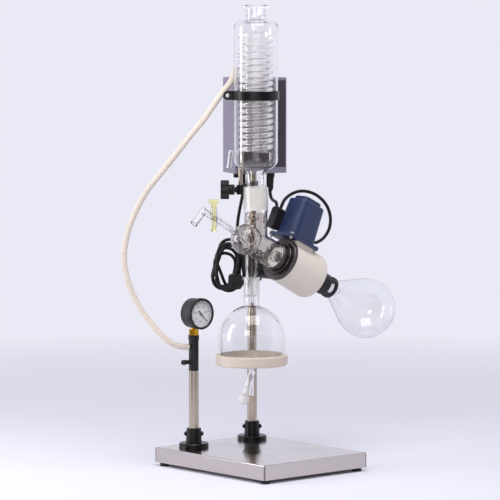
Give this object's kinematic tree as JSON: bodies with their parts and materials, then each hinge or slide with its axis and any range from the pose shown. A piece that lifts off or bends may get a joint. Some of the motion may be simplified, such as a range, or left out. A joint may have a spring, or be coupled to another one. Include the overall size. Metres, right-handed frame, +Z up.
{
  "type": "rotary evaporator",
  "caption": "Bench rotary evaporator: steel tray stand, upright glass condenser, motor-driven tilted flask, domed receiver, vacuum gauge post and control box.",
  "frame": {"origin": "on the bench, under the centre of the base tray", "axes": "+Z up, +X to the right along the short side of the tray towards the flask, +Y to the rear where the columns stand"},
  "size_m": [0.605, 0.3888, 0.976],
  "materials": {
    "stainless": "brushed",
    "bright_steel": "satin",
    "zinc": "plated",
    "black_coat": "satin black powder coat",
    "dark_grey_cast": "dark anodised",
    "white_enamel": "smooth white paint",
    "navy_paint": "navy enamel",
    "box_paint": "fine texture paint",
    "panel_foil": "matt foil",
    "display_black": "gloss",
    "black_plastic": "moulded",
    "circuit_board": "lacquered",
    "core_steel": "laminated",
    "glass": "clear borosilicate",
    "lens_glass": "clear",
    "ptfe": "waxy white",
    "ivory_plastic": "moulded ivory",
    "brass": "machined",
    "dial_white": "printed enamel",
    "pointer_black": "black",
    "silicone": "soft translucent ivory",
    "cord_rubber": "black cord sheath",
    "foot_rubber": "black rubber",
    "key_plastic": "translucent yellow"
  },
  "bodies": {
    "stand": {"base_tray": "stainless", "box_panel": "panel_foil", "box_shell": "box_paint", "condenser_coil": "glass", "condenser_jacket": "glass", "condenser_stopper": "ptfe", "control_board": "circuit_board", "cord_gland": "black_plastic", "cord_hank": "cord_rubber", "display_window": "display_black", "drum_housing": "white_enamel", "end_flange": "dark_grey_cast", "feet": "foot_rubber", "fuse_holder": "black_plastic", "gauge_bezel": "black_coat", "gauge_case": "black_coat", "gauge_dial": "dial_white", "gauge_flange": "black_coat", "gauge_lens": "lens_glass", "gauge_manifold": "black_coat", "gauge_movement": "brass", "gauge_post": "bright_steel", "head_clamp": "dark_grey_cast", "hex_screws": "zinc", "lead_connector": "black_plastic", "mains_cord": "cord_rubber", "mains_plug": "cord_rubber", "mast_flange": "black_coat", "mast_socket": "bright_steel", "mast_tube": "bright_steel", "motor_flange": "navy_paint", "motor_housing": "navy_paint", "motor_lead": "cord_rubber", "motor_screws": "zinc", "motor_stator": "core_steel", "neck_ring": "bright_steel", "receiver_dish": "ivory_plastic", "receiver_flask": "glass", "rod_clamp": "black_coat", "spindle_bearings": "bright_steel", "supply_lead": "cord_rubber", "terminal_box": "dark_grey_cast", "vacuum_hose": "silicone", "vapour_head": "glass", "vapour_seal": "ptfe"},
    "flask_spindle": {"spindle": "bright_steel", "crown_gear": "ptfe", "vapour_tube": "glass", "flask": "glass", "flask_clip": "black_plastic"},
    "rotor": {"motor_rotor": "core_steel"},
    "condenser_support": {"support_rod": "bright_steel", "strap_clamp": "black_coat", "strap_screw": "zinc"},
    "lock_knob": {"lock_knob": "black_plastic"},
    "gauge_pointer": {"gauge_pointer": "pointer_black"},
    "speed_knob": {"speed_knob": "black_plastic"},
    "power_rocker": {"power_rocker": "black_plastic"},
    "feed_key": {"feed_key": "key_plastic"},
    "drain_key": {"drain_key": "ptfe"}
  },
  "joints": [
    {"name": "flask_turn", "type": "hinge", "parent": "stand", "child": "flask_spindle", "pos_m": [-0.013, 0.03, 0.484], "axis": [0.8988, 0, -0.4384], "continuous": true},
    {"name": "rotor_turn", "type": "hinge", "parent": "stand", "child": "rotor", "pos_m": [0.12655, 0.03, 0.48269], "axis": [0.4384, 0, 0.8988], "continuous": true},
    {"name": "support_height", "type": "slide", "parent": "stand", "child": "condenser_support", "axis": [0, 0, 1], "range_m": [-0.06, 0]},
    {"name": "lock_knob_turn", "type": "hinge", "parent": "stand", "child": "lock_knob", "pos_m": [0.00875, 0.10371, 0.5845], "axis": [-0.7524, 0.6587, 0], "range_deg": [0, 360]},
    {"name": "pointer_turn", "type": "hinge", "parent": "stand", "child": "gauge_pointer", "pos_m": [-0.078, 0.101, 0.3255], "axis": [0, -1, 0], "range_deg": [0, 270], "stiffness_Nm_per_rad": 0.0004, "springref_deg": -28.65},
    {"name": "speed_turn", "type": "hinge", "parent": "stand", "child": "speed_knob", "pos_m": [0.10573, 0.08107, 0.701], "axis": [0.3616, 0.9323, 0], "range_deg": [0, 270]},
    {"name": "switch_rock", "type": "hinge", "parent": "stand", "child": "power_rocker", "pos_m": [0.1058, 0.08125, 0.653], "axis": [0.9323, -0.3616, 0], "range_deg": [0, 18]},
    {"name": "feed_cock_turn", "type": "hinge", "parent": "stand", "child": "feed_key", "pos_m": [-0.103, 0.03, 0.535], "axis": [0, 0, 1], "continuous": true},
    {"name": "drain_cock_turn", "type": "hinge", "parent": "stand", "child": "drain_key", "pos_m": [0.002, 0.03, 0.2], "axis": [-0.3746, 0, -0.9272], "continuous": true}
  ],
  "couplings": [
    {"joint": "rotor_turn", "follows": "flask_turn", "ratio": -4}
  ]
}
